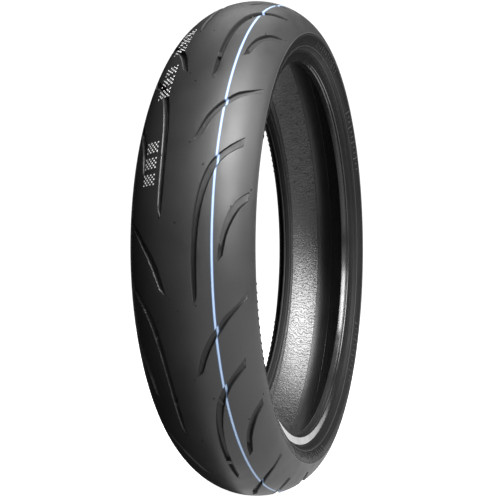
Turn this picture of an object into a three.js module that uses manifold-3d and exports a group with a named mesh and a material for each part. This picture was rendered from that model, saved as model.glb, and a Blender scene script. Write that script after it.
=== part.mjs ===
// Radial motorcycle tyre, size class 120/60 R 17, drawn in millimetres.
// The axle lies along Y, the wheel centre is the origin and +Z is up.
// Every piece is a ring turned about the axle; the tread grooves are cut out afterwards.
import * as THREE from 'three';
import { mergeVertices } from 'three/addons/utils/BufferGeometryUtils.js';
import Module from 'manifold-3d';

const wasm = await Module();
wasm.setup();
const { Manifold, Mesh: SolidMesh } = wasm;

// ---------------------------------------------------------------- driving dimensions
const OUTER_RADIUS = 288;        // crown of the tread
const CROWN_HALF_AXIS = 63.8;    // the crown section is a superellipse: across the tread
const CROWN_DROP = 45.4;         // and from the crown down to its end
const CROWN_POWER = 1.75;
const EDGE_Y = 63.0;             // tread edge, the widest point of the section
const SEGMENTS = 32;             // flats round each ring, four to one tread pitch
const GAP = 0.2;                 // clearance between bonded layers

const PITCH_COUNT = 8;           // the groove pattern repeats every 45 degrees
const LEFT_RIGHT_SHIFT = 16;     // degrees the right-hand pattern runs ahead of the left

// ---------------------------------------------------------------- crown curve
function crownRadius(y) {
  const t = 1 - (y / CROWN_HALF_AXIS) ** 2;
  return OUTER_RADIUS - CROWN_DROP * (1 - t ** (1 / CROWN_POWER));
}

// Points of the crown curve at even steps of y, each with its distance s from the
// centre line measured along the curve.
const crownTable = [];
for (let i = 0, s = 0; i <= 1260; i += 1) {
  const y = EDGE_Y * i / 1260;
  const r = crownRadius(y);
  if (i > 0) {
    const last = crownTable[i - 1];
    s += Math.hypot(y - last.y, r - last.r);
  }
  crownTable.push({ y, r, s });
}
const EDGE_S = crownTable.at(-1).s;

// Position and inward normal of the crown at distance s from the centre line.
function crownAt(s) {
  const found = crownTable.findIndex((p) => p.s >= Math.min(s, EDGE_S));
  const i = Math.min(Math.max(found, 1), crownTable.length - 1);
  const a = crownTable[i - 1];
  const b = crownTable[i];
  const t = (Math.min(s, EDGE_S) - a.s) / (b.s - a.s);
  const ds = b.s - a.s;
  return {
    y: a.y + t * (b.y - a.y),
    r: a.r + t * (b.r - a.r),
    ny: (b.r - a.r) / ds,
    nr: -(b.y - a.y) / ds,
  };
}

// ---------------------------------------------------------------- section stations
// The layers are stacked inward from the outer skin. Each station is a point of the skin
// with its inward normal: the crown, three down the tread, the tread edge, and three
// down the sidewall to the rim flange.
const station = {
  crown: crownAt(0),
  mid: crownAt(25),
  flank: crownAt(48),
  shoulder: crownAt(67),
  edge: { y: EDGE_Y, r: crownRadius(EDGE_Y), ny: -1, nr: 0 },
  wall: { y: 61.3, r: 240.5, ny: -0.903, nr: 0.430 },
  lower: { y: 55.4, r: 232.6, ny: -0.751, nr: 0.660 },
  flange: { y: 50.2, r: 227.6, ny: -0.693, nr: 0.721 },
};

// Point of a layer boundary at the given depth below the skin.
function at(name, depth) {
  const p = station[name];
  return [p.y + p.ny * depth, p.r + p.nr * depth];
}

// Point part of the way between two points.
function mix(a, b, t) {
  return [a[0] + t * (b[0] - a[0]), a[1] + t * (b[1] - a[1])];
}

// Completes a strip that spans the whole section, given its two faces from the crown
// outward on the +Y side.
function strip(outerFace, innerFace) {
  const mirrored = (face) => face.slice(1).map(([y, r]) => [-y, r]).reverse();
  return [
    ...mirrored(outerFace), ...outerFace,
    ...[...innerFace].reverse(), ...mirrored(innerFace).reverse(),
  ];
}

// ---------------------------------------------------------------- layer sections, +Y side
const skinSteps = [16, 31, 44, 56, 66, 74];
const capOuter = [at('crown', 0), ...skinSteps.map((s) => [crownAt(s).y, crownAt(s).r]), at('edge', 0)];
const capInner = [
  at('crown', 6.6), at('mid', 6.6), at('flank', 6.3), at('shoulder', 5.0), at('edge', 2.6),
];

const baseOuter = [at('crown', 6.8), at('mid', 6.8), at('flank', 6.5), at('shoulder', 5.2)];
const baseInner = [at('crown', 7.8), at('mid', 7.8), at('flank', 7.5), at('shoulder', 6.0)];

const BELT_EDGE = 0.62;          // the belt ends this far from flank to shoulder
const beltOuter = [
  at('crown', 8.0), at('mid', 8.0), at('flank', 7.7),
  mix(at('flank', 7.7), at('shoulder', 6.2), BELT_EDGE),
];
const beltInner = [
  at('crown', 8.9), at('mid', 8.9), at('flank', 8.6),
  mix(at('flank', 8.6), at('shoulder', 6.9), BELT_EDGE),
];

// Soft wedge that fills the corner below the belt edge.
const cushion = [
  mix(at('flank', 7.7), at('shoulder', 6.2), BELT_EDGE + 0.05),
  at('shoulder', 6.2),
  mix(at('shoulder', 7.4), at('wall', 2.4), 0.3),
  at('shoulder', 7.4),
  mix(at('flank', 8.8), at('shoulder', 7.4), BELT_EDGE + 0.05),
];

// The outer ply has no turn-up: its edge ends beside the bead filler.
const plyTwoOuter = [
  at('crown', 9.1), at('mid', 9.1), at('flank', 9.0), at('shoulder', 7.6),
  at('wall', 2.6), at('flange', 2.4),
];
const plyTwoInner = [
  at('crown', 9.8), at('mid', 9.8), at('flank', 9.7), at('shoulder', 8.3),
  at('wall', 3.3), at('flange', 3.1),
];

// The inner ply runs down to the bead, under the wire core and back up outside it.
const TURN_UP = 0.8;             // the turned-up edge ends this far from flange to wall
const plyOneOuter = [
  at('crown', 10.0), at('mid', 10.0), at('flank', 9.9), at('shoulder', 8.5),
  at('wall', 3.5), at('lower', 6.8), [40.5, 227.2], [40.6, 221.95], [45.1, 222.15],
  [45.7, 225.0], at('flange', 4.0), mix(at('flange', 4.0), at('wall', 3.6), TURN_UP),
];
const plyOneInner = [
  at('crown', 10.7), at('mid', 10.7), at('flank', 10.6), at('shoulder', 9.2),
  at('wall', 4.3), at('lower', 7.6), [39.7, 227.3], [39.9, 221.25], [45.6, 221.45],
  [46.4, 224.9], at('flange', 3.3), mix(at('flange', 3.3), at('wall', 3.5), TURN_UP),
];

const linerOuter = [
  at('crown', 10.9), at('mid', 10.9), at('flank', 10.8), at('shoulder', 9.4),
  at('wall', 4.5), at('lower', 7.8), [39.5, 227.4], [39.5, 222.1],
];
const linerInner = [
  at('crown', 12.1), at('mid', 12.1), at('flank', 12.0), at('shoulder', 10.6),
  at('wall', 5.6), at('lower', 8.8), [38.4, 227.6], [38.0, 222.1],
];

const sidewall = [
  [EDGE_Y, crownRadius(EDGE_Y) - GAP], at('wall', 0), at('lower', 0), at('flange', 0),
  at('flange', 2.2), at('wall', 2.4), mix(at('shoulder', 7.3), at('wall', 2.4), 0.36),
  [EDGE_Y - 2.75, crownRadius(EDGE_Y) - GAP],
];

// Hard rubber strip round the bead: flat face for the rim flange, tapered seat, toe.
const chafer = [
  [50.0, 227.4], [48.5, 225.9], [48.5, 221.6], [47.2, 219.4], [38.5, 217.8],
  [37.8, 218.6], [37.9, 221.85], [39.5, 221.85], [39.8, 220.95], [46.2, 221.15],
  [47.1, 226.2], [48.5, 229.0],
];

const beadCore = [
  [41.3, 222.2], [44.9, 222.4], [45.35, 225.0], [44.6, 226.9], [41.4, 226.75], [40.9, 224.5],
];

const beadFiller = [
  [41.6, 227.0], [44.8, 227.15], at('flange', 4.2),
  mix(at('flange', 4.2), at('wall', 3.8), 0.66),
  mix(at('lower', 6.5), at('wall', 3.2), 0.3),
  at('lower', 6.5), [41.3, 227.5],
];

// ---------------------------------------------------------------- ring geometry
// Turns a closed section, listed as [y, r] points, into a ring about the axle.
function ring(section) {
  let area = 0;
  section.forEach(([y, r], i) => {
    const [y2, r2] = section[(i + 1) % section.length];
    area += y * r2 - y2 * r;
  });
  // LatheGeometry faces outward when the section runs with r to the right of y.
  const ordered = area > 0 ? [...section].reverse() : section;
  const points = [...ordered, ordered[0]].map(([y, r]) => new THREE.Vector2(r, y));
  return new THREE.LatheGeometry(points, SEGMENTS);
}

function toSolid(geometry) {
  const plain = geometry.clone();
  plain.deleteAttribute('normal');
  plain.deleteAttribute('uv');
  const merged = mergeVertices(plain, 1e-4);
  return new Manifold(new SolidMesh({
    numProp: 3,
    vertProperties: new Float32Array(merged.attributes.position.array),
    triVerts: new Uint32Array(merged.index.array),
  }));
}

function toGeometry(solid) {
  const mesh = solid.getMesh();
  const geometry = new THREE.BufferGeometry();
  geometry.setAttribute('position', new THREE.BufferAttribute(mesh.vertProperties, 3));
  geometry.setIndex(new THREE.BufferAttribute(mesh.triVerts, 1));
  geometry.computeVertexNormals();
  return geometry;
}

// ---------------------------------------------------------------- tread grooves
// Each groove is a list of stations from its shoulder end to its pointed tip:
// [angle of one wall, its distance s, angle of the other wall, its distance s, depth].
const grooves = {
  long: [
    [22.3, 57.2, 20.6, 56.4, 3.6],
    [17.6, 35.0, 15.4, 35.4, 4.8],
    [9.0, 19.0, 8.3, 24.2, 4.8],
    [0.5, 15.8, 0.2, 20.0, 4.8],
    [-8.0, 15.2, -8.5, 19.6, 4.8],
    [-9.8, 15.1, -9.7, 15.5, 4.8],
  ],
  slanted: [
    [36.4, 68.4, 35.0, 68.2, 2.2],
    [31.8, 40.0, 29.6, 39.6, 4.8],
    [21.9, 12.4, 21.1, 16.8, 4.8],
    [20.2, 10.5, 20.15, 10.9, 4.8],
  ],
  short: [
    [11.7, 68.4, 9.5, 68.8, 2.2],
    [7.5, 52.1, 5.4, 55.3, 4.2],
    [0.4, 39.7, -0.9, 44.1, 4.8],
    [-2.7, 38.1, -2.6, 38.5, 4.8],
  ],
};

// Point above (negative depth) or below the tread surface; side is +1 left, -1 right.
function treadPoint(angle, s, depth, side) {
  const p = crownAt(s);
  const r = p.r + p.nr * depth;
  const a = THREE.MathUtils.degToRad(angle);
  return [r * Math.cos(a), side * (p.y + p.ny * depth), r * Math.sin(a)];
}

// Closed cutter for one groove: four corners at each station, joined in turn.
function grooveCutter(stations, turn, side) {
  const vertices = [];
  stations.forEach(([a1, s1, a2, s2, depth]) => {
    vertices.push(
      ...treadPoint(a1 + turn, s1, -4, side),
      ...treadPoint(a2 + turn, s2, -4, side),
      ...treadPoint(a2 + turn, s2, depth, side),
      ...treadPoint(a1 + turn, s1, depth, side),
    );
  });
  const triangles = [];
  const quad = (a, b, c, d) => triangles.push(a, b, c, a, c, d);
  for (let i = 0; i + 1 < stations.length; i += 1) {
    for (let k = 0; k < 4; k += 1) {
      const next = (k + 1) % 4;
      quad(4 * i + k, 4 * i + 4 + k, 4 * i + 4 + next, 4 * i + next);
    }
  }
  const end = 4 * stations.length - 4;
  quad(0, 1, 2, 3);
  quad(end + 3, end + 2, end + 1, end);
  if (side < 0) triangles.reverse();
  return new Manifold(new SolidMesh({
    numProp: 3,
    vertProperties: new Float32Array(vertices),
    triVerts: new Uint32Array(triangles),
  }));
}

function groovedTread() {
  const cutters = [];
  for (let k = 0; k < PITCH_COUNT; k += 1) {
    const turn = k * 360 / PITCH_COUNT;
    Object.values(grooves).forEach((stations) => {
      cutters.push(grooveCutter(stations, turn, 1));
      cutters.push(grooveCutter(stations, turn + LEFT_RIGHT_SHIFT, -1));
    });
  }
  const plain = toSolid(ring(strip(capOuter, capInner)));
  return toGeometry(plain.subtract(Manifold.union(cutters)));
}

// ---------------------------------------------------------------- materials and assembly
function material(colour, roughness, metalness = 0) {
  return new THREE.MeshStandardMaterial({ color: colour, roughness, metalness });
}

const tyre = new THREE.Group();
tyre.name = 'motorcycle_tyre';

function addPiece(name, geometry, look) {
  const mesh = new THREE.Mesh(geometry, look);
  mesh.name = name;
  tyre.add(mesh);
}

// Adds a piece that exists on both sides; the left one is at +Y.
function addPair(name, section, look) {
  addPiece(`${name}_left`, ring(section), look());
  addPiece(`${name}_right`, ring(section.map(([y, r]) => [-y, r])), look());
}

addPiece('tread_cap', groovedTread(), material(0x3a3b3c, 0.75));
addPiece('tread_base', ring(strip(baseOuter, baseInner)), material(0x2c2c2d, 0.8));
addPiece('zero_degree_belt', ring(strip(beltOuter, beltInner)), material(0x8d8468, 0.5, 0.4));
addPair('belt_edge_cushion', cushion, () => material(0x34312e, 0.85));
addPiece('carcass_ply_outer', ring(strip(plyTwoOuter, plyTwoInner)), material(0x6b6151, 0.9));
addPiece('carcass_ply_inner', ring(strip(plyOneOuter, plyOneInner)), material(0x6b6151, 0.9));
addPiece('inner_liner', ring(strip(linerOuter, linerInner)), material(0x232425, 0.55));
addPair('sidewall', sidewall, () => material(0x2b2c2d, 0.7));
addPair('bead_core', beadCore, () => material(0xb0894f, 0.35, 1));
addPair('bead_filler', beadFiller, () => material(0x2e2b29, 0.8));
addPair('chafer', chafer, () => material(0x1c1d1e, 0.4));

export default tyre;
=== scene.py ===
"""Looks of the motorcycle tyre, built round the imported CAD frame.

The axle lies along Y with +Y on the left, Z is up, and the origin is the wheel centre.
Objects are in metres. Outlines are in mm, as (y, r), or on the tread as (angle, s), where s
is the length along the surface from the centre line.
"""

import math

import bpy
import numpy as np
from mathutils import Matrix, Vector


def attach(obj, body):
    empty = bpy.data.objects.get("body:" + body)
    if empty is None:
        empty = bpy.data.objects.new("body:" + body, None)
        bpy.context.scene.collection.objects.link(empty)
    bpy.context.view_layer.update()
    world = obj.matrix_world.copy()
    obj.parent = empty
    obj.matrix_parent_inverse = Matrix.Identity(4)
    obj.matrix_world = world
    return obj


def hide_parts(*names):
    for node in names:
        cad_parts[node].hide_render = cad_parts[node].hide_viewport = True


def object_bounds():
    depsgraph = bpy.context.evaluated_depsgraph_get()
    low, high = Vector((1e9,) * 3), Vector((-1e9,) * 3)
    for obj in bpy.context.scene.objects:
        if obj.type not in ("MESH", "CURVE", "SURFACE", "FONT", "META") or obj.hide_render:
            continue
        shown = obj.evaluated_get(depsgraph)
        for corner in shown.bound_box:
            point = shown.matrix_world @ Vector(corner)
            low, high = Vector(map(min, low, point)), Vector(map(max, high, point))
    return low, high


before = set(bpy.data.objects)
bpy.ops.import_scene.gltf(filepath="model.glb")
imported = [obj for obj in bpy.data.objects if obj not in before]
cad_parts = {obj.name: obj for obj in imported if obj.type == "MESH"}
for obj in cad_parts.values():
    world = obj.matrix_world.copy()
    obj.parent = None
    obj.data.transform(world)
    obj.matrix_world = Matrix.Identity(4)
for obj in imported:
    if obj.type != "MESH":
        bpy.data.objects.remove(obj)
cad_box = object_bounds()

MM = 0.001
RING_SEGMENTS = 360

# ------------------------------------------------------------------ crown of the tread, in mm
OUTER_RADIUS = 288.0
CROWN_HALF_AXIS = 63.8
CROWN_DROP = 45.4
CROWN_POWER = 1.75
EDGE_Y = 63.0


def crown_radius(y):
    """Radius of the tread surface at y: an arch like an ellipse, with another power."""
    arch = np.clip(1 - (np.asarray(y) / CROWN_HALF_AXIS) ** 2, 0, 1)
    return OUTER_RADIUS - CROWN_DROP * (1 - arch ** (1 / CROWN_POWER))


# The crown from its centre line to its edge: y, radius, length along it, outward normal.
ARC_Y = EDGE_Y * np.sin(np.linspace(0, math.pi / 2, 2001))
ARC_R = crown_radius(ARC_Y)
ARC_S = np.concatenate([[0], np.cumsum(np.hypot(np.diff(ARC_Y), np.diff(ARC_R)))])
ARC_NY = -np.gradient(ARC_R, ARC_S)
ARC_NR = np.gradient(ARC_Y, ARC_S)
EDGE_S = float(ARC_S[-1])
EDGE_R = float(crown_radius(EDGE_Y))


def crown_at(s):
    """y, r and outward normal of the crown, s mm from the centre line along the surface."""
    s = np.asarray(s, float)
    away = np.abs(s)
    sign = np.where(s < 0, -1.0, 1.0)
    past_edge = np.maximum(away - EDGE_S, 0)
    y = np.interp(away, ARC_S, ARC_Y)
    r = np.interp(away, ARC_S, ARC_R) - past_edge
    return sign * y, r, sign * np.interp(away, ARC_S, ARC_NY), np.interp(away, ARC_S, ARC_NR)


def on_tread(angle, s, height):
    """Points over the tread: angle in degrees, s and height in mm. Result in metres."""
    y, r, ny, nr = crown_at(s)
    radius = r + nr * height
    a = np.radians(angle)
    return np.stack([radius * np.cos(a), y + ny * height, radius * np.sin(a)], -1) * MM


def degree_length(s):
    """Length in mm of one degree round the tread at s."""
    return np.radians(1) * crown_at(s)[1]


# ------------------------------------------------------------------ outlines
STRAIGHT_CORNER = math.radians(172)
LONGEST_CUT = 0.45


def rounded(points, radius, steps=3):
    """A closed polygon with its corners rounded to at most the given radius.

    A corner takes up at most LONGEST_CUT of each side, and a nearly straight one stays.
    """
    out = []
    count = len(points)
    for i in range(count):
        corner = np.array(points[i], float)
        a = np.array(points[i - 1], float) - corner
        b = np.array(points[(i + 1) % count], float) - corner
        la, lb = np.linalg.norm(a), np.linalg.norm(b)
        turn = math.acos(np.clip(np.dot(a, b) / (la * lb), -1, 1))
        if turn > STRAIGHT_CORNER:
            out.append(tuple(corner))
            continue
        cut = min(radius / math.tan(turn / 2), LONGEST_CUT * la, LONGEST_CUT * lb)
        start, end = corner + a / la * cut, corner + b / lb * cut
        for k in range(steps + 1):
            t = k / steps
            out.append(tuple((1 - t) ** 2 * start + 2 * t * (1 - t) * corner + t * t * end))
    return out


def spline(points, per_span):
    """Catmull-Rom curve through the rows of an array."""
    p = np.array(points, float)
    p = np.vstack([2 * p[0] - p[1], p, 2 * p[-1] - p[-2]])
    out = []
    for i in range(1, len(p) - 2):
        for t in np.linspace(0, 1, per_span, endpoint=False):
            out.append(
                0.5
                * (
                    2 * p[i]
                    + (p[i + 1] - p[i - 1]) * t
                    + (2 * p[i - 1] - 5 * p[i] + 4 * p[i + 1] - p[i + 2]) * t**2
                    + (3 * p[i] - p[i - 1] - 3 * p[i + 1] + p[i + 2]) * t**3
                )
            )
    out.append(p[-2])
    return np.array(out)


def mirrored(section):
    """A (y, r) outline on the other side of the tyre, with its points in reverse order."""
    return [(-y, r) for y, r in section[::-1]]


def lengths(x, y):
    """Length along a path, at each of its points."""
    return np.concatenate([[0], np.cumsum(np.hypot(np.diff(x), np.diff(y)))])


# ------------------------------------------------------------------ mesh helpers
def new_object(name, vertices, faces, material=None):
    mesh = bpy.data.meshes.new(name)
    mesh.from_pydata([tuple(v) for v in vertices], [], faces)
    mesh.update()
    obj = bpy.data.objects.new(name, mesh)
    bpy.context.scene.collection.objects.link(obj)
    if material:
        mesh.materials.append(material)
    return obj


def shade_smooth(obj, degrees):
    """Smooth shading, with edges sharper than the angle kept crisp."""
    mesh = obj.data
    mesh.polygons.foreach_set("use_smooth", [True] * len(mesh.polygons))
    mesh.set_sharp_from_angle(angle=math.radians(degrees))


def lathe(name, section, material):
    """Closed section of (y, r) points in mm, turned about the Y axis."""
    area = sum(
        p[0] * q[1] - q[0] * p[1] for p, q in zip(section, section[1:] + section[:1])
    )
    points = np.array(section if area > 0 else section[::-1], float) * MM
    count = len(points)
    a = np.linspace(0, 2 * math.pi, RING_SEGMENTS, endpoint=False)
    x = points[None, :, 1] * np.cos(a)[:, None]
    z = points[None, :, 1] * np.sin(a)[:, None]
    y = np.broadcast_to(points[None, :, 0], x.shape)
    vertices = np.stack([x, y, z], -1).reshape(-1, 3)
    faces = []
    for i in range(RING_SEGMENTS):
        here, there = i * count, (i + 1) % RING_SEGMENTS * count
        for m in range(count):
            n = (m + 1) % count
            faces.append((here + m, here + n, there + n, there + m))
    return new_object(name, vertices, faces, material)


def prisms(name, loops_list, material=None):
    """One mesh of closed prisms. Each item is an array (stations, corners, 3)."""
    vertices, faces = [], []
    for loops in loops_list:
        stations, corners, _ = loops.shape
        base = len(vertices)
        flat = loops.reshape(-1, 3)
        local = []
        for i in range(stations - 1):
            here, there = i * corners, (i + 1) * corners
            for m in range(corners):
                n = (m + 1) % corners
                local.append((here + m, there + m, there + n, here + n))
        local.append(tuple(range(corners)))
        local.append(tuple((stations - 1) * corners + m for m in reversed(range(corners))))
        if volume(flat, local) < 0:
            local = [tuple(reversed(face)) for face in local]
        vertices.extend(map(tuple, flat))
        faces.extend(tuple(base + i for i in face) for face in local)
    return new_object(name, vertices, faces, material)


def volume(points, faces):
    """Six times the signed volume of a closed mesh."""
    centre = points.mean(0)
    total = 0.0
    for face in faces:
        first = points[face[0]] - centre
        for u, v in zip(face[1:-1], face[2:]):
            total += np.dot(first, np.cross(points[u] - centre, points[v] - centre))
    return total


def combine(obj, other, operation):
    """Boolean of a piece with a helper object, which is used up."""
    modifier = obj.modifiers.new("boolean", "BOOLEAN")
    modifier.operation = operation
    modifier.solver = "MANIFOLD"
    modifier.object = other
    depsgraph = bpy.context.evaluated_depsgraph_get()
    result = bpy.data.meshes.new_from_object(obj.evaluated_get(depsgraph))
    obj.modifiers.clear()
    before = obj.data
    obj.data = result
    result.name = obj.name
    bpy.data.meshes.remove(before)
    bpy.data.objects.remove(other)


# ------------------------------------------------------------------ tread pattern
# What follows is one pitch of the left half. The right half is the same, mirrored and turned:
# each half is its side of the tyre and its turn in degrees.
PITCH_COUNT = 8
PITCH = 360.0 / PITCH_COUNT
HALVES = ((1, 0.0), (-1, 16.0))
# Each groove as its edge nearer the crown, its outer edge, its tip, and its depth in mm.
# Edges run from the shoulder end to the tip as (angle, s); depths are (share of the way, mm).
LONG = (
    [(22.5, 58.7), (21.2, 51.2), (19.9, 44.4), (18.4, 37.5), (16.6, 30.3), (14.5, 25.2),
     (11.7, 20.8), (8.3, 17.6), (5.0, 15.7), (1.7, 14.7), (-2.5, 14.1), (-6.7, 14.3),
     (-9.2, 14.9)],
    [(20.3, 57.75), (19.0, 50.0), (17.5, 42.5), (15.4, 35.6), (13.3, 31.2), (10.8, 27.4),
     (7.5, 23.9), (4.2, 21.9), (0.8, 20.6), (-2.5, 20.0), (-6.7, 19.7), (-9.0, 19.2)],
    (-10.5, 15.5),
    [(0, 1.0), (0.08, 3.4), (0.3, 4.8), (0.92, 4.8), (1, 3.2)],
)
SLANTED = (
    [(36.2, 68.4), (35.3, 63.5), (34.2, 57.5), (33.1, 50.0), (31.9, 42.5), (30.4, 36.3),
     (28.75, 29.4), (27.1, 23.75), (25.0, 18.1), (22.5, 13.75)],
    [(34.7, 68.2), (33.8, 62.0), (32.5, 55.0), (30.8, 46.25), (28.75, 38.1), (27.3, 32.5),
     (25.4, 26.9), (23.3, 21.9), (21.2, 17.6)],
    (20.1, 10.25),
    [(0, 0.5), (0.2, 3.0), (0.4, 4.2), (0.9, 4.2), (1, 3.0)],
)
SHORT = (
    [(11.3, 69.0), (10.4, 62.5), (9.2, 56.3), (7.5, 50.6), (5.4, 45.6), (2.9, 41.9),
     (0.0, 39.4)],
    [(9.4, 69.0), (8.3, 63.75), (7.1, 58.75), (5.0, 53.1), (2.5, 48.1), (0.0, 45.25),
     (-1.5, 44.0)],
    (-2.7, 38.5),
    [(0, 0.9), (0.1, 2.4), (0.45, 4.2), (0.7, 4.6), (0.9, 4.6), (1, 3.2)],
)
# The walls of a groove are drawn for a full depth and width, and shrink below them. Each
# cutter stands OVERCUT above the skin.
GROOVE_STATIONS = 46
FULL_DEPTH = 4.8
FULL_WIDTH = 5.2
TIP_WIDTH = (0.02, 0.35)
TIP_DEPTH = 0.7
OVERCUT = 0.9
# Raised bars across every other long groove: angle, half width in degrees, depth of the top.
TIE_BARS = {1: [(-3.85, 0.6, 1.3), (13.8, 0.3, 2.6)],
            -1: [(-2.6, 0.5, 1.3), (12.4, 0.3, 2.4)]}
TIE_BAR_RAMP = 0.2
BELOW_ANY_GROOVE = 6.0
# Small round pits, as (angle, s), and their rings as (height, radius).
VENTS = [(19.6, 7.6), (34.4, 17.6), (15.3, 22.4), (7.9, 50.2), (11.9, 71.2), (-11.6, 0.6)]
VENT_RINGS = ((0.4, 0.95), (-0.1, 0.85), (-1.0, 0.7))


def along(edge, share):
    """Points of a smooth curve through an edge, at shares of its length."""
    curve = spline(edge, 12)
    round_tread = np.radians(curve[:, 0]) * crown_at(curve[:, 1])[1]
    length = lengths(round_tread, curve[:, 1])
    return np.stack([np.interp(share * length[-1], length, c) for c in curve.T], -1)


def groove_path(groove, bars):
    """Both edges of a groove and its depth, from the shoulder end to the tip."""
    near, far, tip, depths = groove
    even = np.linspace(0, 1, GROOVE_STATIONS)
    middle = (along(near, even)[:, 0] + along(far, even)[:, 0]) / 2
    share = even
    for centre, half, _ in bars:
        foot = half + TIE_BAR_RAMP
        marks = centre + np.array([foot, half, -half, -foot])
        share = np.union1d(share, np.interp(-marks, -middle, even))
    a, b = along(near, share), along(far, share)
    depth = np.interp(share, *zip(*depths))
    for centre, half, top in bars:
        away = np.abs((a[:, 0] + b[:, 0]) / 2 - centre)
        depth = np.minimum(depth, np.interp(
            away, [half, half + TIE_BAR_RAMP], [top, BELOW_ANY_GROOVE]))
    a = np.vstack([a, tip])
    b = np.vstack([b, np.array(tip) + TIP_WIDTH])
    return a, b, np.append(depth, TIP_DEPTH)


def groove_loops(groove, turn, side, bars):
    """Cross-sections of the cutter of one groove, from the shoulder end to the tip.

    Each has a sloped near wall, a flat bed with rounded sides, and a far wall with a lip.
    """
    a, b, depth = groove_path(groove, bars)
    scale = degree_length((a[:, 1] + b[:, 1]) / 2)
    du, ds = (b[:, 0] - a[:, 0]) * scale, b[:, 1] - a[:, 1]
    width = np.hypot(du, ds)
    du, ds = du / width, ds / width
    fit = np.minimum(1, width / FULL_WIDTH)
    deep = depth / FULL_DEPTH
    lip = np.minimum(0.75 * fit, 0.4 * depth)
    bed = np.minimum(0.5, 0.3 * depth)
    slope, step = (0.3 + 0.75 * deep) * fit, lip + 0.6 * deep * fit
    none = 0 * width
    rows = [
        (none - OVERCUT, none + OVERCUT), (none, none), (0.3 * fit, -0.35 * fit),
        (slope, bed - depth), (slope + 0.5 * fit, -depth),
        (width - step - 0.5 * fit, -depth), (width - step, bed - depth),
        (width - lip, -lip), (width, none), (width + OVERCUT, none + OVERCUT),
    ]
    columns = []
    for x, height in rows:
        columns.append(on_tread(a[:, 0] + du * x / scale + turn,
                                side * (a[:, 1] + ds * x), height))
    return np.stack(columns, 1)


def disc_loops(angle, s, side, rings, corners):
    """A round prism standing on the tread, as rings of (height, radius)."""
    t = np.linspace(0, 2 * math.pi, corners, endpoint=False)
    scale = degree_length(s)
    return np.stack([
        on_tread(angle + radius * np.cos(t) / scale, side * (s + radius * np.sin(t)), height)
        for height, radius in rings
    ], 0)


# ------------------------------------------------------------------ node materials
class Look:
    """A procedural material on one Principled shader, in object coordinates."""

    def __init__(self, name, **fixed):
        self.material = bpy.data.materials.new(name)
        self.material.use_nodes = True
        self.tree = self.material.node_tree
        self.tree.nodes.clear()
        self.shader = self.node("ShaderNodeBsdfPrincipled")
        output = self.node("ShaderNodeOutputMaterial")
        self.link(self.shader.outputs[0], output.inputs[0])
        self.place = self.node("ShaderNodeTexCoord").outputs["Object"]
        for socket, value in fixed.items():
            self.shader.inputs[socket.replace("_", " ")].default_value = value

    def node(self, kind, **settings):
        node = self.tree.nodes.new(kind)
        for key, value in settings.items():
            setattr(node, key, value)
        return node

    def link(self, a, b):
        self.tree.links.new(a, b)

    def feed(self, socket, value):
        if isinstance(value, bpy.types.NodeSocket):
            self.link(value, socket)
        else:
            socket.default_value = value

    def math(self, operation, *values, clamp=False):
        node = self.node("ShaderNodeMath", operation=operation, use_clamp=clamp)
        for socket, value in zip(node.inputs, values):
            self.feed(socket, value)
        return node.outputs[0]

    def axes(self, vector=None):
        node = self.node("ShaderNodeSeparateXYZ")
        self.link(self.place if vector is None else vector, node.inputs[0])
        return node.outputs

    def from_axle(self):
        """Distance from the axle."""
        x, _, z = self.axes()
        return self.math("SQRT", self.math(
            "ADD", self.math("MULTIPLY", x, x), self.math("MULTIPLY", z, z)))

    def round_axle(self):
        """Angle round the axle, in radians."""
        x, _, z = self.axes()
        return self.math("ARCTAN2", z, x)

    def noise(self, scale, detail, roughness=0.55):
        node = self.node("ShaderNodeTexNoise")
        self.link(self.place, node.inputs["Vector"])
        node.inputs["Scale"].default_value = scale
        node.inputs["Detail"].default_value = detail
        node.inputs["Roughness"].default_value = roughness
        return node.outputs[0]

    def span(self, value, low, high, out_low=0.0, out_high=1.0):
        """A smooth step: out_low up to low, out_high from high on."""
        node = self.node("ShaderNodeMapRange", interpolation_type="SMOOTHSTEP")
        self.feed(node.inputs["Value"], value)
        for name, number in zip(("From Min", "From Max", "To Min", "To Max"),
                                (low, high, out_low, out_high)):
            self.feed(node.inputs[name], number)
        return node.outputs[0]

    def band(self, value, low, high, soft):
        """1 from low to high, and 0 from soft beyond them."""
        return self.math("MULTIPLY", self.span(value, low - soft, low),
                         self.span(value, high, high + soft, 1.0, 0.0))

    def blend(self, share, first, second):
        node = self.node("ShaderNodeMix", data_type="RGBA")
        self.feed(node.inputs[0], share)
        self.feed(node.inputs[6], first)
        self.feed(node.inputs[7], second)
        return node.outputs[2]

    def bump(self, height, distance, strength, after=None):
        node = self.node("ShaderNodeBump")
        node.inputs["Distance"].default_value = distance
        node.inputs["Strength"].default_value = strength
        self.link(height, node.inputs["Height"])
        if after is not None:
            self.link(after, node.inputs["Normal"])
        return node.outputs[0]

    def use(self, colour, roughness=None, normal=None):
        self.feed(self.shader.inputs["Base Color"], colour)
        if roughness is not None:
            self.feed(self.shader.inputs["Roughness"], roughness)
        if normal is not None:
            self.feed(self.shader.inputs["Normal"], normal)
        return self.material


def grey(value):
    return (value, value, value, 1.0)


def rubber(name, dark, light, rough, grain=0.00012, **fixed):
    """Cured rubber: faint bloom in large patches, fine grain in the surface."""
    look = Look(name, **fixed)
    patches = look.noise(9.0, 3.0)
    speck = look.noise(420.0, 2.0)
    share = look.math("MULTIPLY_ADD", patches, 0.75, look.math("MULTIPLY", speck, 0.25))
    colour = look.blend(look.span(share, 0.32, 0.68), grey(dark), grey(light))
    roughness = look.span(look.noise(38.0, 4.0), 0.3, 0.7, rough - 0.04, rough + 0.04)
    fine = look.bump(look.noise(1500.0, 2.0), grain, 0.5)
    return look, colour, roughness, fine


def plain_rubber(name, dark, light, rough):
    look, colour, roughness, normal = rubber(name, dark, light, rough)
    return look.use(colour, roughness, normal)


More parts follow.
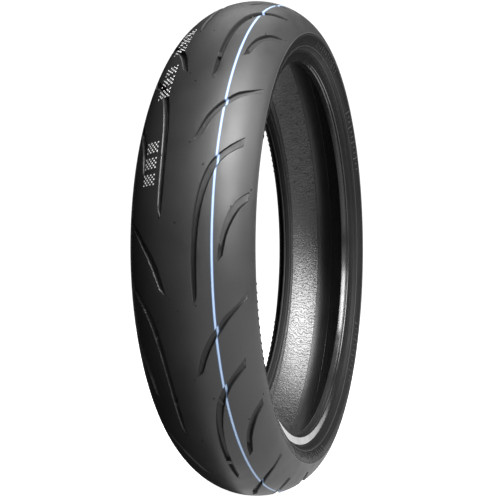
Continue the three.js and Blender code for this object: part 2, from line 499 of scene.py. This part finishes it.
# The painted stripe's place on the skin in mm, and its half widths in metres. A painted
# highlight, a pale band along the rim of the tread, lies below TREAD_RIM, a radius in metres.
STRIPE_S = 33.8
STRIPE_Y = float(crown_at(STRIPE_S)[0]) * MM
STRIPE_HALF, STRIPE_CORE_HALF = 0.0012, 0.0006
EDGE_PAINT, CORE_PAINT = (0.035, 0.07, 0.15, 1), (0.31, 0.41, 0.57, 1)
TREAD_RIM = 0.2485


def crown_shares(look, y, radius):
    """Shares of being inside a groove or cut, and on a groove wall that faces outwards."""
    across = look.math("MULTIPLY", y, 1 / (CROWN_HALF_AXIS * MM))
    arch = look.math("SUBTRACT", 1.0, look.math("MULTIPLY", across, across), clamp=True)
    crown = look.math("MULTIPLY_ADD", look.math("POWER", arch, 1 / CROWN_POWER),
                      CROWN_DROP * MM, (OUTER_RADIUS - CROWN_DROP) * MM)
    inside = look.span(look.math("SUBTRACT", crown, radius), 0.0005, 0.0022)
    slope = look.math("MULTIPLY", look.math("POWER", arch, 1 / CROWN_POWER - 1), look.math(
        "MULTIPLY", across, 2 * CROWN_DROP / (CROWN_POWER * CROWN_HALF_AXIS)))
    skin_y = look.math("SINE", look.math("ARCTANGENT", slope))
    facing_y = look.axes(look.node("ShaderNodeNewGeometry").outputs["Normal"])[1]
    lean = look.math("MULTIPLY", look.math("SUBTRACT", facing_y, skin_y),
                     look.math("SIGN", y))
    return inside, look.math("MULTIPLY", look.span(lean, 0.08, 0.28), inside)


def tread_look():
    """Tread rubber, dull in the grooves, with painted shade in the grooves and on their
    outward walls, a painted highlight along the rim, and a painted stripe.
    """
    look, colour, roughness, normal = rubber("tread_rubber_look", 0.021, 0.028, 0.45)
    y, radius = look.axes()[1], look.from_axle()
    inside, wall = crown_shares(look, y, radius)
    # Painted shade: darker in the grooves, and near black on the groove walls that face
    # outwards.
    colour = look.blend(wall, look.blend(inside, colour, grey(0.012)), grey(0.002))
    roughness = look.math("MULTIPLY_ADD", inside, 0.1, roughness)
    roughness = look.math("MULTIPLY_ADD", wall, 0.4, roughness)
    # Painted highlight: the skin below TREAD_RIM, outside the grooves, is drawn pale.
    rim_highlight = look.math("MULTIPLY", look.span(radius, TREAD_RIM, TREAD_RIM + 0.0006, 1.0, 0.0),
                    look.math("SUBTRACT", 1.0, inside))
    colour = look.blend(rim_highlight, colour, grey(0.07))
    off = look.math("ABSOLUTE", look.math("SUBTRACT", y, STRIPE_Y))
    stripe = look.span(off, STRIPE_HALF, STRIPE_HALF + 0.0003, 1.0, 0.0)
    core = look.span(off, STRIPE_CORE_HALF, STRIPE_CORE_HALF + 0.0004, 1.0, 0.0)
    paint = look.blend(core, EDGE_PAINT, CORE_PAINT)
    wear_and_highlight = look.span(look.noise(300.0, 3.0), 0.25, 0.4, 0.82, 1.0)
    colour = look.blend(look.math("MULTIPLY", stripe, wear_and_highlight), colour, paint)
    return look.use(colour, roughness, normal)


# The liner's flanks are marked beyond this distance from the centre plane and this radius.
FLANK_FROM_Y, FLANK_FROM_RADIUS = 0.0098, 0.2495


def liner_look():
    """Butyl inner skin: satin, with worm-like marks of the curing bladder on the flanks."""
    look = Look("liner_look", Specular_IOR_Level=1.0)
    y = look.axes()[1]
    marked = look.math(
        "MULTIPLY",
        look.span(look.math("ABSOLUTE", y), FLANK_FROM_Y, FLANK_FROM_Y + 0.0008),
        look.span(look.from_axle(), FLANK_FROM_RADIUS, FLANK_FROM_RADIUS + 0.001))
    degrees = look.math("MULTIPLY", look.round_axle(), 360 / (2 * math.pi))
    wander = look.math("MULTIPLY", look.noise(130.0, 1.0, 0.5), 3.2)
    waves = look.math("PINGPONG", look.math("ADD", degrees, wander), 0.5)
    lines = look.math("MULTIPLY", look.span(waves, 0.05, 0.22, 1.0, 0.0), marked)
    pebble = look.math("MULTIPLY", look.noise(420.0, 2.0, 0.6), marked)
    colour = look.blend(look.span(look.noise(12.0, 3.0), 0.3, 0.7), grey(0.01), grey(0.018))
    colour = look.blend(lines, look.blend(marked, colour, grey(0.02)), grey(0.011))
    roughness = look.span(look.noise(60.0, 4.0), 0.3, 0.7, 0.41, 0.45)
    roughness = look.math("MULTIPLY_ADD", marked, -0.1, roughness)
    roughness = look.math("MULTIPLY_ADD", lines, 0.2, roughness)
    normal = look.bump(look.math("SUBTRACT", 1.0, lines), 0.0003, 0.22)
    normal = look.bump(pebble, 0.0004, 0.7, normal)
    return look.use(colour, roughness, normal)


# Face of the sidewall below the tread edge, as (y, r) in mm, its middle radius, and the
# groups of raised bars on it: the first angle in degrees and the number of bars.
WALL_FACE = [(61.95, 244.2), (61.0, 240.9), (59.2, 238.0), (56.9, 235.3)]
WALL_MIDDLE = 240.0
BAR_GROUPS = [(26, 12), (88, 12), (130, 12), (206, 12), (266, 16), (330, 12)]
BAR_STEP = 2
# Radii in metres, from and to, of the two lines of painted highlight and of the ring that
# holds the bars.
RIB_LINE, EDGE_LINE, BAR_RING = (0.2343, 0.235), (0.2463, 0.2469), (0.2359, 0.2436)


def sidewall_look():
    """Dull wall rubber, with painted highlights as lighter rubber on the rim rib, on the
    tread edge and on the raised bars.
    """
    look, colour, roughness, normal = rubber(
        "sidewall_rubber_look", 0.007, 0.0105, 0.5, Specular_IOR_Level=0.15)
    y, radius = look.axes()[1], look.from_axle()
    # Painted highlights: lighter bands of rubber on the rim rib and along the tread edge.
    wear_and_highlight = look.math("MAXIMUM", look.band(radius, *RIB_LINE, 0.0003),
                     look.band(radius, *EDGE_LINE, 0.0003))
    colour = look.blend(wear_and_highlight, colour, grey(0.035))
    # The wall face as a cubic of its radius, to tell what stands proud of it.
    face = spline(WALL_FACE, 12)
    height = look.math("MULTIPLY_ADD", radius, 1 / MM, -WALL_MIDDLE)
    face_y = 0.0
    for factor in np.polyfit(face[:, 1] - WALL_MIDDLE, face[:, 0] * MM, 3):
        face_y = look.math("MULTIPLY_ADD", face_y, height, float(factor))
    proud = look.math("SUBTRACT", look.math("ABSOLUTE", y), face_y)
    bar_highlight = look.math("MULTIPLY", look.span(proud, 0.0003, 0.0006),
                       look.band(radius, *BAR_RING, 0.0003))
    # Painted highlight: the raised bars are drawn in lighter rubber.
    return look.use(look.blend(bar_highlight, colour, grey(0.04)), roughness, normal)


def bead_look():
    """Bead rubber, polished along the left bead and satin on the right one."""
    look, colour, roughness, normal = rubber(
        "chafer_rubber_look", 0.008, 0.012, 0.2, 0.00002, Specular_IOR_Level=0.6)
    satin = look.span(look.axes()[1], -0.001, 0.001, 0.5, 0.0)
    return look.use(colour, look.math("ADD", roughness, satin), normal)


# Radius in metres at which cords that lie across the tyre have their stated pitch.
CORD_RADIUS = 0.27


def cord_look(name, rubber_colour, cord_colour, pitch, metallic=0.0, round_tyre=False):
    """Parallel cords under a thin skin of rubber, pitch metres apart."""
    look = Look(name, Metallic=metallic)
    if round_tyre:
        run = look.axes()[1]
    else:
        run = look.math("MULTIPLY", look.round_axle(), CORD_RADIUS)
    phase = look.math("MULTIPLY", run, 2 * math.pi / pitch)
    ridge = look.math("MULTIPLY_ADD", look.math("SINE", phase), 0.5, 0.5)
    fuzz = look.noise(900.0, 3.0)
    share = look.math("MULTIPLY", look.span(ridge, 0.25, 0.8), look.span(fuzz, 0.2, 0.5))
    colour = look.blend(share, rubber_colour, cord_colour)
    roughness = look.span(fuzz, 0.3, 0.7, 0.5, 0.75)
    return look.use(colour, roughness, look.bump(ridge, pitch * 0.25, 0.8))


# ------------------------------------------------------------------ tread
# Points over the skin, set closer together towards its edges.
SKIN_POINTS = 57
SKIN_SPREAD = math.pi / 2 * 0.93
EDGE_LIP = [(62.98, EDGE_R + 0.35), (62.86, EDGE_R + 0.1), (62.6, EDGE_R)]
# Underside of the tread, as (depth below the skin, s) from the centre outwards.
UNDERSIDE = [(6.6, 12), (6.6, 24), (6.6, 36), (6.3, 48), (5.0, 67)]
UNDERSIDE_END_Y = 60.4
# What counts as skin when the tread is shaded: mm off the crown, and cosine to its normal.
SKIN_TOLERANCE = 0.05
SKIN_COSINE = 0.96


def tread_section():
    """Section of the tread: the skin, its edge lips, and the underside."""
    share = np.sin(np.linspace(-1, 1, SKIN_POINTS) * SKIN_SPREAD) / math.sin(SKIN_SPREAD)
    y, r, _, _ = crown_at(share * (EDGE_S - 0.8))
    skin = list(zip(y.tolist(), r.tolist()))
    half = []
    for depth, s in UNDERSIDE:
        y, r, ny, nr = crown_at(s)
        half.append((float(y - ny * depth), float(r - nr * depth)))
    half.append((UNDERSIDE_END_Y, EDGE_R))
    middle = [(0.0, OUTER_RADIUS - UNDERSIDE[0][0])]
    under = half[::-1] + middle + [(-y, r) for y, r in half]
    return skin + EDGE_LIP + under + mirrored(EDGE_LIP)


def tread_piece(look):
    """The tread with its grooves and pits cut in."""
    tread = lathe("tread_cap_visual", tread_section(), look)
    for key, groove in (("long", LONG), ("slanted", SLANTED), ("short", SHORT)):
        cutters = []
        for k in range(PITCH_COUNT):
            for side, shift in HALVES:
                bars = TIE_BARS[side] if key == "long" and k % 2 else ()
                cutters.append(groove_loops(groove, k * PITCH + shift, side, bars))
        combine(tread, prisms("cut_" + key, cutters), "DIFFERENCE")
    pits = []
    for k in range(PITCH_COUNT):
        for angle, s in VENTS:
            for side, shift in HALVES:
                pits.append(disc_loops(angle + (k * PITCH + shift), s, side, VENT_RINGS, 10))
    combine(tread, prisms("vents", pits), "DIFFERENCE")
    shade_tread(tread)
    return tread


def shade_tread(obj):
    """Smooth shading that follows the true crown on the skin and stays crisp at the cuts."""
    shade_smooth(obj, 28)
    mesh = obj.data
    points = np.empty(len(mesh.vertices) * 3, np.float32)
    mesh.vertices.foreach_get("co", points)
    points = points.reshape(-1, 3).astype(float) / MM
    x, y, z = points.T
    radius = np.hypot(x, z)
    off_crown = np.abs(radius - crown_radius(np.clip(y, -EDGE_Y, EDGE_Y)))
    on_skin = (off_crown < SKIN_TOLERANCE) & (radius > float(crown_at(EDGE_S - 0.5)[1]))
    _, _, ny, nr = crown_at(np.interp(np.abs(y), ARC_Y, ARC_S) * np.sign(y))
    true_normals = np.stack([nr * x / radius, ny, nr * z / radius], -1)

    corners = np.empty(len(mesh.loops), np.int32)
    mesh.loops.foreach_get("vertex_index", corners)
    starts = np.empty(len(mesh.polygons), np.int32)
    mesh.polygons.foreach_get("loop_start", starts)
    totals = np.empty(len(mesh.polygons), np.int32)
    mesh.polygons.foreach_get("loop_total", totals)
    normals = np.empty(len(mesh.polygons) * 3, np.float32)
    mesh.polygons.foreach_get("normal", normals)
    custom = np.zeros((len(mesh.loops), 3))
    for start, total, normal in zip(starts, totals, normals.reshape(-1, 3)):
        ids = corners[start:start + total]
        if on_skin[ids].all() and np.dot(true_normals[ids[0]], normal) > SKIN_COSINE:
            custom[start:start + total] = true_normals[ids]
    mesh.normals_split_custom_set(custom.tolist())


# ------------------------------------------------------------------ other pieces, in mm
# Sections. The sidewall's is its edge under the tread, WALL_FACE, its rim rib and its inside.
WALL_EDGE = [(63.0, EDGE_R - 0.15), (62.95, 246.9), (62.2, 246.5)]
RIM_RIB = [(57.5, 235.0), (57.3, 234.3), (56.2, 234.0), (55.9, 233.2), (54.9, 232.2),
           (53.3, 231.8), (51.6, 230.4), (50.25, 227.75)]
WALL_INSIDE = [(48.82, 229.04), (59.58, 241.32), (60.7, 246.0), (60.3, EDGE_R - 0.15)]
# Cross-section of a raised bar, as (offset, height) over the wall face.
BAR_SECTION = ((-0.8, -0.7), (-0.75, 0.35), (-0.45, 0.6), (0.45, 0.6), (0.75, 0.35),
               (0.8, -0.7))
CHAFER = [
    (50.1, 228.7), (49.5, 225.6), (48.9, 222.6), (48.45, 220.3), (48.0, 219.25),
    (46.7, 218.85), (46.0, 219.1), (45.6, 219.65), (44.7, 219.6), (44.25, 218.65),
    (38.7, 217.85), (37.95, 218.1), (37.75, 218.9), (37.9, 221.9), (39.6, 221.9),
    (39.8, 220.9), (46.2, 221.1), (46.9, 226.2), (48.6, 228.9),
]
# The liner from its centre line outwards: the face on the ply, then the inside with its
# smooth splice band, the marked flank, and the pocket behind the bead.
LINER_TOE = 222.1
LINER_OUTER = [(0, 275.8), (20.7, 272.45), (37.5, 263.75), (49.0, 253.9), (56.7, 242.7),
               (49.1, 238.15), (39.5, 227.4)]
LINER_BAND = [(0.0, 274.3), (2.5, 274.2), (5.0, 273.9), (7.5, 273.4), (9.9, 272.7)]
LINER_FLANK = [(10.2, 272.9), (20.0, 268.5), (30.0, 263.4), (38.0, 258.7), (43.9, 254.8)]
LINER_POCKET = [(44.2, 254.4), (49.5, 249.4), (55.2, 243.0), (53.5, 240.4), (48.4, 238.7),
                (38.5, 227.6)]


def bar_loops(angle, low, high, side):
    """Raised bar along the sidewall face, from low to high as shares of its length."""
    face = spline(WALL_FACE, 6)
    run = np.linspace(0, 1, len(face))
    share = np.linspace(low, high, 5)
    y, r = np.interp(share, run, face[:, 0]), np.interp(share, run, face[:, 1])
    ty, tr = np.gradient(y), np.gradient(r)
    size = np.hypot(ty, tr)
    ny, nr = -tr / size, ty / size
    columns = []
    for offset, height in BAR_SECTION:
        bar_y, bar_r = y + ny * height, r + nr * height
        turn = math.radians(angle) + offset / bar_r
        columns.append(np.stack(
            [bar_r * np.cos(turn), side * bar_y, bar_r * np.sin(turn)], -1) * MM)
    return np.stack(columns, 1)


def sidewall_piece(side, name, look):
    """Wall with a rib above the rim, and groups of short and long raised bars."""
    section = rounded(WALL_EDGE + WALL_FACE + RIM_RIB + WALL_INSIDE, 0.7)
    if side < 0:
        section = mirrored(section)
    wall = lathe(f"sidewall_{name}_visual", section, look)
    bars = []
    for start, count in BAR_GROUPS:
        for k in range(count):
            low, high = (0.06, 0.82) if k % 3 == 0 else (0.2, 0.62)
            bars.append(bar_loops(start + BAR_STEP * k, low, high, side))
    combine(wall, prisms("bars", bars), "UNION")
    shade_smooth(wall, 30)
    return wall


def chafer_piece(side, name, look):
    """Bead seat, round heel and flange face, with one fine groove along the seat."""
    section = rounded(CHAFER, 0.9, 5)
    if side < 0:
        section = mirrored(section)
    strip = lathe(f"chafer_{name}_visual", section, look)
    shade_smooth(strip, 50)
    return strip


def liner_piece(look):
    """Inner skin: smooth splice band in the middle, flanks, then the bead pockets."""
    def curve(points):
        return [tuple(map(float, p)) for p in spline(points, 6)]

    beyond_centre = [(-LINER_OUTER[1][0], LINER_OUTER[1][1])]
    top = curve(beyond_centre + LINER_OUTER)[6:] + [(39.5, LINER_TOE)]
    bottom = LINER_BAND + curve(LINER_FLANK) + curve(LINER_POCKET) + [(38.0, LINER_TOE)]
    section = (
        mirrored(top)[:-1] + top + bottom[::-1] + [(-y, r) for y, r in bottom[1:]]
    )
    liner = lathe("inner_liner_visual", section, look)
    shade_smooth(liner, 24)
    return liner


# Printed blocks of dots on the right shoulder: the angles of their middles in degrees, and
# for each dot its spacing round and across the tread, and its rings as (height, radius).
INK_BLOCKS = (19.4, 16.1, 12.8, 38.2, 35.0, 31.8, 51.5, 48.2, 44.9)
INK_COLUMNS, INK_ROWS = 5, 7
INK_STEP_ROUND, INK_STEP_ACROSS = 2.3, 2.25
INK_FIRST_S = -26.5
INK_RINGS = ((-0.04, 0.85), (0.05, 0.85), (0.07, 0.85 * 0.85))


def ink_piece(look):
    """Small printed dots on the right shoulder, in plain chequered blocks."""
    dots = []
    for middle in INK_BLOCKS:
        for i in range(INK_COLUMNS):
            for j in range(INK_ROWS):
                if (i + j) % 2:
                    continue
                s = INK_FIRST_S - INK_STEP_ACROSS * j
                angle = middle + (i - INK_COLUMNS // 2) * INK_STEP_ROUND / degree_length(s)
                dots.append(disc_loops(angle, s, 1, INK_RINGS, 12))
    ink = prisms("ink_dots", dots, look)
    shade_smooth(ink, 40)
    return ink


# ------------------------------------------------------------------ studio
PANEL_DISTANCE = 2.4
FLOOR_GAP = 0.002
WORLD_STRENGTH = 0.02
# Soft panels: azimuth from +X towards +Y and elevation in degrees, width, height, power.
PANELS = {
    "key_high": (58, 52, 1.3, 1.3, 70),
    "key": (52, 28, 1.2, 1.3, 82),
    "front": (14, 36, 1.4, 1.0, 9),
    "top": (190, 64, 1.5, 1.0, 11),
    "side": (98, 28, 1.2, 1.2, 22),
    "fill": (215, -2, 1.2, 1.2, 3),
}
# Panels just under the floor, facing up: x, y, width, height, power.
FLOOR_PANELS = {
    "bounce": (0.48, 0.64, 1.6, 1.3, 6.5),
    "glow": (-0.8, 0.4, 1.0, 0.8, 6.5),
}
BEAD_PANEL = (2, 37, 0.8, 1.9, 145)
# Camera: place as distance and angles from the centre, then its small turns, in radians.
CAMERA_DISTANCE, CAMERA_AZIMUTH, CAMERA_ELEVATION = 1.0708, 0.3027, -0.0037
CAMERA_PAN, CAMERA_TILT, CAMERA_ROLL = -0.02285, -0.00164, -0.0005
CAMERA_LENS = 63.95
FLOOR_RADII = (0.3, 0.6, 1.0, 1.6, 2.6, 4.0)
FLOOR_SEGMENTS = 96
DOME_RADIUS = 14.0
DOME_ROWS = 24
DOME_SEGMENTS = 48


def direction(azimuth, elevation):
    """Unit vector from the wheel centre, both angles in radians."""
    return Vector((math.cos(azimuth) * math.cos(elevation),
                   math.sin(azimuth) * math.cos(elevation), math.sin(elevation)))


def area_light(name, place, aim, width, height, power):
    """Soft panel that the camera doesn't see."""
    data = bpy.data.lights.new(name, "AREA")
    data.shape = "RECTANGLE"
    data.size, data.size_y = width, height
    data.energy = power
    lamp = bpy.data.objects.new(name, data)
    lamp.location = place
    lamp.rotation_euler = (aim - place).to_track_quat("-Z", "Y").to_euler()
    lamp.visible_camera = False
    bpy.context.scene.collection.objects.link(lamp)
    return lamp


def panel(name, azimuth, elevation, width, height, power):
    place = direction(math.radians(azimuth), math.radians(elevation)) * PANEL_DISTANCE
    return area_light(name, place, Vector((0, 0, 0)), width, height, power)


def make_lights():
    """All panels. The last one lights the left bead strip only, through the tyre."""
    for name, values in PANELS.items():
        panel(name, *values)
    for name, (x, y, width, height, power) in FLOOR_PANELS.items():
        place = Vector((x, y, cad_box[0][2] - FLOOR_GAP))
        area_light(name, place, Vector((x, y, 1.0)), width, height, power)
    bead_light = panel("bead_light", *BEAD_PANEL)
    bead_light.data.use_shadow = False
    return bead_light


def turned(first, second, angle):
    """Two unit vectors turned in their own plane, the first towards the second."""
    c, s = math.cos(angle), math.sin(angle)
    return first * c + second * s, second * c - first * s


def make_camera():
    """Level view from the left of the tread, close enough to show strong perspective."""
    place = CAMERA_DISTANCE * direction(CAMERA_AZIMUTH, CAMERA_ELEVATION)
    ahead = -place.normalized()
    right = ahead.cross(Vector((0, 0, 1))).normalized()
    up = right.cross(ahead)
    ahead, right = turned(ahead, right, CAMERA_PAN)
    ahead, up = turned(ahead, up, CAMERA_TILT)
    right, up = turned(right, up, CAMERA_ROLL)
    data = bpy.data.cameras.new("camera")
    data.sensor_width = 36.0
    data.lens = CAMERA_LENS
    data.clip_end = 60.0
    camera = bpy.data.objects.new("camera", data)
    axes = Matrix((right, up, -ahead)).transposed().to_4x4()
    camera.matrix_world = Matrix.Translation(place) @ axes
    bpy.context.scene.collection.objects.link(camera)
    bpy.context.scene.camera = camera


def rings_mesh(tips, rings, segments):
    """Vertices and faces of level rings, closed at the top and, with two tips, below."""
    vertices, faces = list(tips), []
    for radius, height in rings:
        for k in range(segments):
            a = 2 * math.pi * k / segments
            vertices.append((radius * math.cos(a), radius * math.sin(a), height))
    first = len(tips)
    last = first + (len(rings) - 1) * segments
    for k in range(segments):
        n = (k + 1) % segments
        faces.append((0, first + k, first + n))
        if len(tips) > 1:
            faces.append((1, last + n, last + k))
        for here in range(first, last, segments):
            there = here + segments
            faces.append((here + k, there + k, there + n, here + n))
    return vertices, faces


def make_stage():
    """Round pale floor, and a white globe far round everything. Neither lights the tyre."""
    base = cad_box[0][2]
    look = Look("floor_look", Roughness=0.9, Specular_IOR_Level=0.1, Emission_Strength=1.0,
                Emission_Color=grey(1.0))
    tone = look.blend(look.noise(3.0, 2.0), grey(0.84), grey(0.88))
    rings = [(radius, base) for radius in FLOOR_RADII]
    floor = new_object("floor", *rings_mesh([(0.0, 0.0, base)], rings, FLOOR_SEGMENTS),
                       look.use(tone))

    look = Look("dome_look", Roughness=1.0, Emission_Strength=1.1, Emission_Color=grey(1.0))
    steps = [math.pi * i / DOME_ROWS for i in range(1, DOME_ROWS)]
    rings = [(DOME_RADIUS * math.sin(t), DOME_RADIUS * math.cos(t)) for t in steps]
    tips = [(0.0, 0.0, DOME_RADIUS), (0.0, 0.0, -DOME_RADIUS)]
    vertices, faces = rings_mesh(tips, rings, DOME_SEGMENTS)
    inwards = [face[::-1] for face in faces]
    dome = new_object("dome", vertices, inwards, look.use(grey(0.0)))
    for obj in (floor, dome):
        obj.visible_diffuse = False
        obj.visible_glossy = False
        obj.visible_shadow = False


def make_world():
    world = bpy.data.worlds.new("studio")
    bpy.context.scene.world = world
    world.use_nodes = True
    back = world.node_tree.nodes["Background"]
    back.inputs[0].default_value = (1, 1, 1, 1)
    back.inputs[1].default_value = WORLD_STRENGTH


# ------------------------------------------------------------------ build
make_camera()
make_stage()
make_world()
bpy.context.scene.view_settings.view_transform = "Standard"
bead_light = make_lights()

tread = tread_piece(tread_look())
wall_look = sidewall_look()
strip_look = bead_look()
shown = [
    (tread, "tread_rubber", ["tread_cap"]),
    (liner_piece(liner_look()), "liner_rubber", ["inner_liner"]),
    (ink_piece(plain_rubber("ink_look", 0.9, 0.97, 0.6)), "tread_rubber", []),
]
for side, name in ((1, "left"), (-1, "right")):
    wall = sidewall_piece(side, name, wall_look)
    shown.append((wall, "sidewall_rubber", [f"sidewall_{name}"]))
    strip = chafer_piece(side, name, strip_look)
    shown.append((strip, "chafer_rubber", [f"chafer_{name}"]))
for piece, slot_name, nodes in shown:
    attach(piece, "root")
    if nodes:
        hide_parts(*nodes)

left_bead = bpy.data.collections.new("left_bead")
left_bead.objects.link(bpy.data.objects["chafer_left_visual"])
bead_light.light_linking.receiver_collection = left_bead

# Looks of the CAD nodes inside the tyre, by the start of their names.
inner_looks = {
    "tread_base": plain_rubber("base_rubber_look", 0.018, 0.026, 0.7),
    "zero_degree_belt": cord_look("belt_cord_look", grey(0.02), (0.45, 0.38, 0.22, 1), 0.0011,
                                  metallic=0.4, round_tyre=True),
    "carcass_ply": cord_look("ply_fabric_look", grey(0.025), (0.3, 0.24, 0.16, 1), 0.001),
    "belt_edge_cushion": plain_rubber("cushion_rubber_look", 0.025, 0.034, 0.75),
    "bead_core": cord_look("bead_wire_look", (0.12, 0.08, 0.04, 1), (0.5, 0.34, 0.16, 1),
                           0.00115, metallic=1.0, round_tyre=True),
    "bead_filler": plain_rubber("filler_rubber_look", 0.02, 0.03, 0.7),
}
for node_name, node_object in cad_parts.items():
    for start, look in inner_looks.items():
        if node_name.startswith(start):
            node_object.data.materials.clear()
            node_object.data.materials.append(look)
